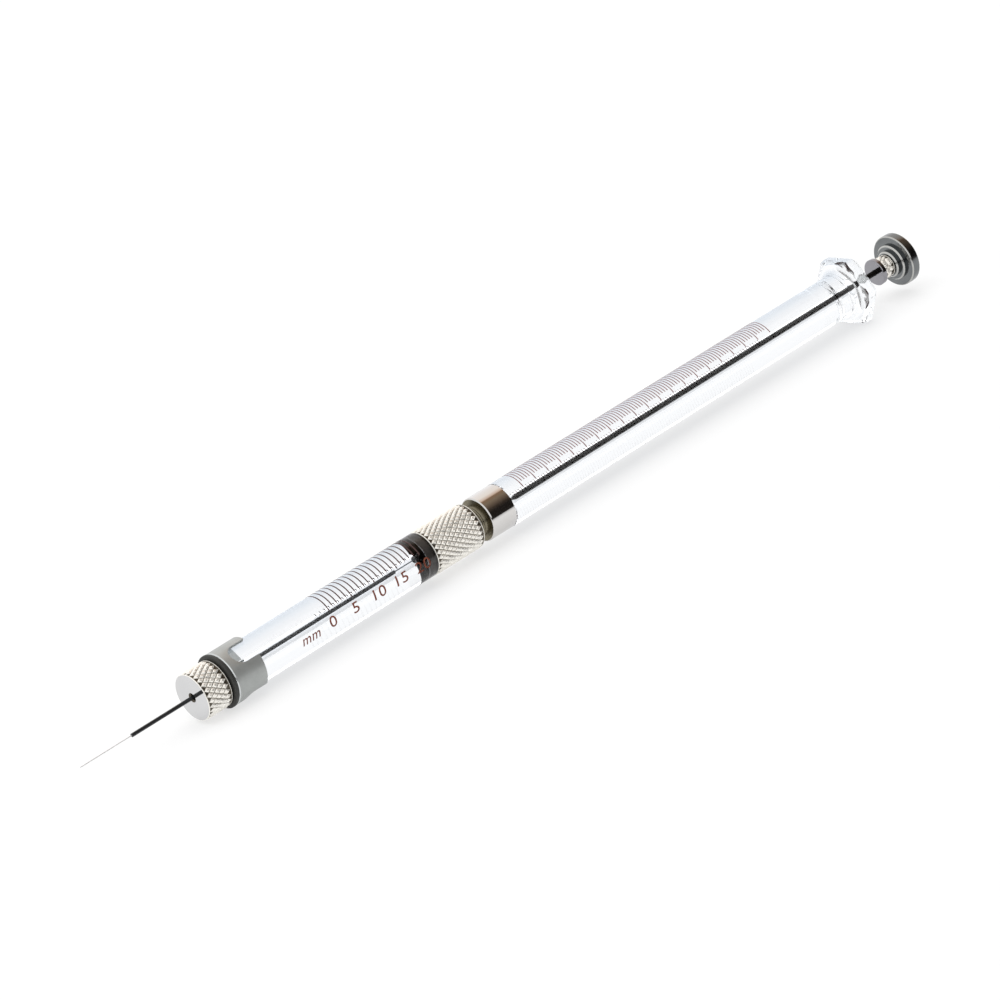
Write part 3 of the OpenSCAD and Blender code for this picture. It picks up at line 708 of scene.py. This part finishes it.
# ---------------------------------------------------------------- Plunger
# The plunger is a ground steel rod with a tapered front end, in which a fine wire is soldered. The
# wire fills the needle's bore. The split brass chuck behind the clamp nut grips the rod.
dark_steel = metal("rod_steel", (0.012, 0.011, 0.010), (0.026, 0.024, 0.022), 0.34, 0.46, marks_depth=0.00002)
rod_tip, rod_x, rod_end, rod_r, tip_r, wire_hole = 93.0, 94.0, 188.6, 0.5, 0.1, 0.06
rod_rings = (130, 160)
rod = turned(
    "plunger_rod_steel",
    [(rod_tip, wire_hole), (rod_tip, tip_r), (rod_x, rod_r)]
    + [(x, rod_r) for x in rod_rings]
    + [(rod_end, rod_r), (rod_end, wire_hole), (rod_tip, wire_hole)], around=64)
rod.data.materials.append(dark_steel)
seat(rod, "plunger_body", "rod_steel", "plunger_rod")
finished("plunger_wire", needle_steel)
finished("rod_chuck", brass)

# ---------------------------------------------------------------- Thumb button
# The button is turned in one piece from stainless steel and left bright: a threaded nose, two
# steps and a broad disc with rounded edges. It screws into the clamp nut.
button_steel = metal("button_steel", (0.13, 0.137, 0.14), (0.24, 0.25, 0.255), 0.12, 0.24, pitch=0.08,
                     marks_depth=0.003)
button_x, button_nose, button_hole, button_lead = 185.65, 1.3, 0.96, 0.1
step_x, step_edge, step_len, first_step, second_step = 187.475, 0.25, 0.75, 2.45, 3.3
disc_x, disc_end, disc_r, disc_edge, face_rings = 188.975, 190.875, 4.75, 0.3, (2.0, 0.4)
button = turned(
    "thumb_button_steel",
    [(button_x, button_hole), (button_x, button_nose - button_lead), (button_x + button_lead, button_nose),
     (step_x, button_nose), (step_x, first_step - step_edge), (step_x + step_edge, first_step),
     (step_x + step_len, first_step), (step_x + step_len, second_step - step_edge),
     (step_x + step_len + step_edge, second_step), (disc_x, second_step)]
    + rounded(disc_x + disc_edge, disc_r - disc_edge, disc_edge, -90, 0, 8)
    + rounded(disc_end - disc_edge, disc_r - disc_edge, disc_edge, 0, 90, 8)
    + [(disc_end, ring) for ring in face_rings], around=160)
button.data.materials.append(button_steel)
# Painted highlight: the rounded edges and the step edges of the button take a lighter steel.
button.data.materials.append(metal("button_edge_highlight", (0.40, 0.40, 0.385), (0.62, 0.62, 0.60), 0.16, 0.3))
for face in button.data.polygons:
    if 0.15 < abs(face.normal.x) < 0.9:
        face.material_index = 1
seat(button, "plunger_body", "button_steel", "thumb_button")

# ---------------------------------------------------------------- Clamp nut
# The clamp nut is a small plated nut with a polished disc in front and a diamond knurl behind. It
# closes the chuck on the rod.
clamp_x, clamp_end, clamp_d, disc_t, clamp_size = 184.0, 187.35, 4.1, 0.9, 0.75
clamp_disc_r, clamp_edge, rod_hole, clamp_hole, into_disc = 2.45, 0.125, 0.55, 1.38, 0.05
grip_x = clamp_x + disc_t
rim_r = clamp_d / 2 - knurl_depth * clamp_size / 3
front_disc = turned("clamp_disc", [
    (clamp_x, rod_hole), (clamp_x, clamp_disc_r - clamp_edge), (clamp_x + clamp_edge, clamp_disc_r),
    (grip_x - clamp_edge, clamp_disc_r), (grip_x, clamp_disc_r - clamp_edge), (grip_x, rod_hole),
    (clamp_x, rod_hole)], around=128)
front_disc.data.materials.append(
    metal("clamp_disc_steel", (0.26, 0.255, 0.275), (0.35, 0.345, 0.365), 0.06, 0.12))
grip = knurled(
    "clamp_grip",
    [(grip_x - into_disc, clamp_hole), (grip_x - into_disc, rim_r), (grip_x, rim_r)],
    grip_x, clamp_end - rim, clamp_d,
    [(clamp_end - rim, rim_r), (clamp_end - rim / 2, rim_r), (clamp_end, rim_r - rim / 2),
     (clamp_end, clamp_hole), (grip_x - into_disc, clamp_hole)], clamp_size)
grip.data.materials.append(plating("clamp_nickel", clamp_d / 2, clamp_size))
clamp_nut = joined("clamp_nut_knurled", front_disc, grip)
seat(clamp_nut, "clamp_body", "knurled_nickel", "clamp_nut")

# ---------------------------------------------------------------- Floor
# A broad white table. The part lies on a flat of its flange and on the washer, so the table is
# tilted by the small difference between the two. To glossy rays alone the table is painted dark from
# a little way in front, as a painted dark reflection in polished metal.
rests = ((28.75, -4.75), (176.7, -6.0))
fall = (rests[1][1] - rests[0][1]) / (rests[1][0] - rests[0][0])
bpy.ops.object.select_all(action="DESELECT")
bpy.ops.mesh.primitive_plane_add(size=6)
floor = bpy.context.object
floor.name = floor.data.name = "table"
for v in floor.data.vertices:
    v.co.z = rests[0][1] * MM + (v.co.x - rests[0][0] * MM) * fall - 0.01 * MM
paper = bpy.data.materials.new("table_white")
paper.use_nodes = True
nodes, links = paper.node_tree.nodes, paper.node_tree.links
matt, glow, lit = nodes["Principled BSDF"], node(nodes, "Emission"), node(nodes, "MixShader")
matt.inputs["Base Color"].default_value = (0.90, 0.90, 0.90, 1)
matt.inputs["Roughness"].default_value = 1.0
matt.inputs["Specular IOR Level"].default_value = 0.0
seen, half = node(nodes, "LightPath"), node(nodes, "Math", operation="MULTIPLY")
shine, through = node(nodes, "Math", operation="MAXIMUM"), node(nodes, "Math", operation="MAXIMUM")
half.inputs[1].default_value = 0.65
links.new(seen.outputs["Is Camera Ray"], shine.inputs[0])
links.new(seen.outputs["Is Glossy Ray"], shine.inputs[1])
links.new(shine.outputs[0], through.inputs[0])
links.new(seen.outputs["Is Transmission Ray"], through.inputs[1])
links.new(through.outputs[0], half.inputs[0])
# Painted reflection: glossy rays see the table go near black from dark_from to dark_to along -Y.
dark_from, dark_to = -16, -34
place, apart = node(nodes, "TexCoord"), node(nodes, "SeparateXYZ")
edge = graded(nodes, dark_from * MM, dark_to * MM)
painted_dark_mask, most = node(nodes, "Math", operation="MULTIPLY"), node(nodes, "Math", operation="MAXIMUM")
dark = node(nodes, "Mix", data_type="RGBA")
dark.inputs["A"].default_value, dark.inputs["B"].default_value = (1.0, 1.0, 1.0, 1), (0.02, 0.017, 0.015, 1)
links.new(place.outputs["Object"], apart.inputs[0])
links.new(apart.outputs["Y"], edge.inputs["Value"])
links.new(edge.outputs["Result"], painted_dark_mask.inputs[0])
links.new(seen.outputs["Is Glossy Ray"], painted_dark_mask.inputs[1])
links.new(painted_dark_mask.outputs[0], most.inputs[0])
links.new(half.outputs[0], most.inputs[1])
links.new(most.outputs[0], lit.inputs["Fac"])
links.new(painted_dark_mask.outputs[0], dark.inputs["Factor"])
links.new(dark.outputs["Result"], glow.inputs["Color"])
links.new(matt.outputs["BSDF"], lit.inputs[1])
links.new(glow.outputs["Emission"], lit.inputs[2])
links.new(lit.outputs["Shader"], nodes["Material Output"].inputs["Surface"])
floor.data.materials.append(paper)

# ---------------------------------------------------------------- Light
# A very broad lamp stands high behind the part, and a white room fills the shadows. Polished metal
# sees a dark hanging on the near side, which gives the turned pieces their black band.
lamp = bpy.data.lights.new("soft_lamp", "SUN")
lamp.energy, lamp.angle = 2.3, radians(100)
lamp_stand = bpy.data.objects.new("soft_lamp", lamp)
bpy.context.collection.objects.link(lamp_stand)
lamp_stand.rotation_euler = Vector((0.0, 0.20, 0.97)).to_track_quat("Z", "Y").to_euler()
lamp_stand.visible_glossy = False

room = bpy.data.worlds.new("studio")
bpy.context.scene.world = room
room.use_nodes = True
nodes, links = room.node_tree.nodes, room.node_tree.links
sky, seen = nodes["Background"], node(nodes, "LightPath")
toward, apart = node(nodes, "TexCoord"), node(nodes, "SeparateXYZ")
flip, turn = node(nodes, "Math", operation="MULTIPLY"), node(nodes, "Math", operation="ARCTAN2")
share = node(nodes, "Math", operation="DIVIDE")
hanging, side = node(nodes, "ValToRGB"), graded(nodes, 0.0, 0.4, interpolation_type="SMOOTHSTEP")
flip.inputs[1].default_value, share.inputs[1].default_value = -1.0, pi
ramp = hanging.color_ramp
ramp.elements[0].position, ramp.elements[0].color = 0.12, (0.017, 0.014, 0.012, 1)
ramp.elements[1].position, ramp.elements[1].color = 1.0, (1.15, 1.15, 1.18, 1)
for spot, colour in (
        (0.20, (0.052, 0.038, 0.028, 1)), (0.29, (0.155, 0.112, 0.080, 1)), (0.38, (0.25, 0.19, 0.133, 1)),
        (0.48, (0.295, 0.183, 0.112, 1)), (0.52, (0.82, 0.63, 0.51, 1)), (0.62, (1.12, 1.04, 0.97, 1))):
    ramp.elements.new(spot).color = colour
after_bounce = 0.52
near, shine = node(nodes, "Mix", data_type="RGBA"), node(nodes, "Math", operation="MULTIPLY")
level = graded(nodes, 0.0, 1.0, 1.0, after_bounce)
bare = node(nodes, "Math", operation="SUBTRACT", use_clamp=True)
links.new(toward.outputs["Generated"], apart.inputs[0])
links.new(apart.outputs["Y"], flip.inputs[0])
links.new(apart.outputs["Z"], turn.inputs[0])
links.new(flip.outputs[0], turn.inputs[1])
links.new(turn.outputs[0], share.inputs[0])
links.new(share.outputs[0], hanging.inputs["Fac"])
links.new(apart.outputs["X"], side.inputs["Value"])
links.new(side.outputs["Result"], shine.inputs[0])
links.new(seen.outputs["Is Glossy Ray"], bare.inputs[0])
links.new(seen.outputs["Transmission Depth"], bare.inputs[1])
links.new(bare.outputs[0], shine.inputs[1])
links.new(shine.outputs[0], near.inputs["Factor"])
near.inputs["A"].default_value = (1.0, 1.0, 1.0, 1)
links.new(hanging.outputs["Color"], near.inputs["B"])
links.new(near.outputs["Result"], sky.inputs["Color"])
links.new(seen.outputs["Diffuse Depth"], level.inputs["Value"])
links.new(level.outputs["Result"], sky.inputs["Strength"])

# ---------------------------------------------------------------- Camera
# A long lens looks down the part from its needle end. The camera is turned a little about its own
# axis, so that the part lies on a flat of its flange.
view = bpy.data.cameras.new("camera")
view.lens, view.sensor_width, view.clip_start, view.clip_end = 171.04, 36.0, 0.01, 20.0
camera = bpy.data.objects.new("camera", view)
bpy.context.collection.objects.link(camera)
look, up = Vector((0.5419, 0.7682, -0.3409)).normalized(), Vector((0.4438, 0.0829, 0.8923))
right = look.cross(up).normalized()
up = right.cross(look)
stand = Matrix.Translation(Vector((-335.5, -605.76, 269.76)) * MM)
camera.matrix_world = stand @ Matrix((right, up, -look)).transposed().to_4x4()
bpy.context.scene.camera = camera
bpy.context.scene.view_settings.view_transform = "Standard"
bpy.context.scene.cycles.max_bounces = 24
bpy.context.scene.cycles.transmission_bounces = 24
bpy.context.scene.cycles.glossy_bounces = 16
